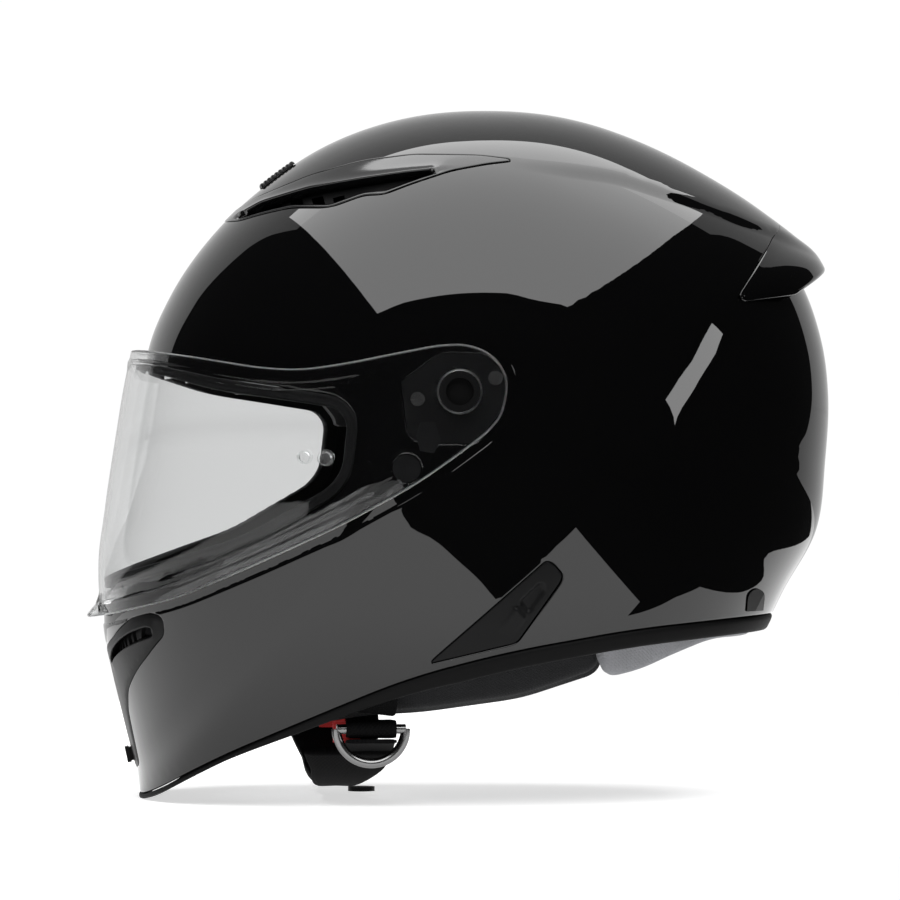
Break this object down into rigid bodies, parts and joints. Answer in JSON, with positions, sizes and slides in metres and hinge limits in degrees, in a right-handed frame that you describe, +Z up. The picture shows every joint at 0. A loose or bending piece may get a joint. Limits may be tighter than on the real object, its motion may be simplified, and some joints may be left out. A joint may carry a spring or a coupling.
{
  "type": "motorcycle helmet",
  "caption": "Full-face motorcycle helmet with a clear lifting visor, forehead and chin vents, rear spoiler, padded liner and a D-ring chin strap.",
  "frame": {"origin": "middle of the head space, midway between the two visor pivots at the temples", "axes": "+X is the wearer's left, -Y is the front and +Z is up, as the helmet is worn"},
  "size_m": [0.2472, 0.3352, 0.3072],
  "materials": {
    "gloss_black": "glossy",
    "satin_black": "satin",
    "grille_black": "matte",
    "foam": "matte",
    "liner_fabric": "matte",
    "collar_fabric": "satin",
    "rubber_black": "satin",
    "clear_visor": "glossy",
    "steel": "polished",
    "pin_black": "glossy",
    "webbing": "matte",
    "red_cord": "matte"
  },
  "bodies": {
    "helmet": {"outer_shell": "gloss_black", "rear_spoiler": "gloss_black", "crown_foam": "foam", "chin_foam": "foam", "comfort_liner": "liner_fabric", "eye_port_gasket": "rubber_black", "bottom_trim": "rubber_black", "breath_deflector": "liner_fabric", "neck_roll": "collar_fabric", "cheek_pad_left": "liner_fabric", "cheek_pad_right": "liner_fabric", "cheek_foam_left": "foam", "cheek_foam_right": "foam", "cheek_plate_left": "satin_black", "cheek_plate_right": "satin_black", "cheek_plate_snaps": "steel", "pull_tab_left": "red_cord", "pull_tab_right": "red_cord", "forehead_vent_cover": "satin_black", "forehead_vent_grille": "grille_black", "chin_vent_frame": "satin_black", "chin_vent_grille": "grille_black", "side_insert_left": "satin_black", "side_insert_right": "satin_black", "rear_port_left": "satin_black", "rear_port_right": "satin_black", "base_plate_left": "satin_black", "base_plate_right": "satin_black", "base_plate_screws": "steel", "strap_rivet_left": "steel", "strap_rivet_right": "steel", "anchor_plate_left": "steel", "anchor_plate_right": "steel", "strap_web_left": "webbing", "strap_web_right": "webbing", "chin_strap_long": "webbing", "chin_strap_short": "webbing", "strap_tail": "webbing", "strap_snap": "satin_black"},
    "visor": {"visor": "clear_visor", "lens_pin_left": "pin_black", "lens_pin_right": "pin_black"},
    "forehead_vent": {"forehead_vent_slider": "satin_black", "forehead_vent_shutter": "satin_black"},
    "chin_vent": {"chin_vent_slider": "satin_black", "chin_vent_shutter": "satin_black"},
    "release_left": {"release_lever_left": "satin_black"},
    "release_right": {"release_lever_right": "satin_black"},
    "ring_outer": {"d_ring_outer": "steel"},
    "ring_inner": {"d_ring_inner": "steel"}
  },
  "joints": [
    {"name": "visor_hinge", "type": "hinge", "parent": "helmet", "child": "visor", "pos_m": [0, 0, 0], "axis": [-1, 0, 0], "range_deg": [0, 52]},
    {"name": "forehead_vent_slide", "type": "slide", "parent": "helmet", "child": "forehead_vent", "axis": [0, 0.7986, 0.6018], "range_m": [0, 0.007]},
    {"name": "chin_vent_slide", "type": "slide", "parent": "helmet", "child": "chin_vent", "axis": [0, -0.2079, 0.9781], "range_m": [0, 0.005]},
    {"name": "release_lever_left_hinge", "type": "hinge", "parent": "helmet", "child": "release_left", "pos_m": [0.119, -0.0135, -0.0155], "axis": [1, 0, 0], "range_deg": [0, 8], "stiffness_Nm_per_rad": 0.05},
    {"name": "release_lever_right_hinge", "type": "hinge", "parent": "helmet", "child": "release_right", "pos_m": [-0.119, -0.0135, -0.0155], "axis": [1, 0, 0], "range_deg": [0, 8], "stiffness_Nm_per_rad": 0.05},
    {"name": "d_ring_outer_swing", "type": "hinge", "parent": "helmet", "child": "ring_outer", "pos_m": [0.08571, -0.036, -0.1465], "axis": [0, -1, 0], "range_deg": [0, 20]},
    {"name": "d_ring_inner_swing", "type": "hinge", "parent": "helmet", "child": "ring_inner", "pos_m": [0.08141, -0.036, -0.1465], "axis": [0, 1, 0], "range_deg": [0, 12]}
  ]
}
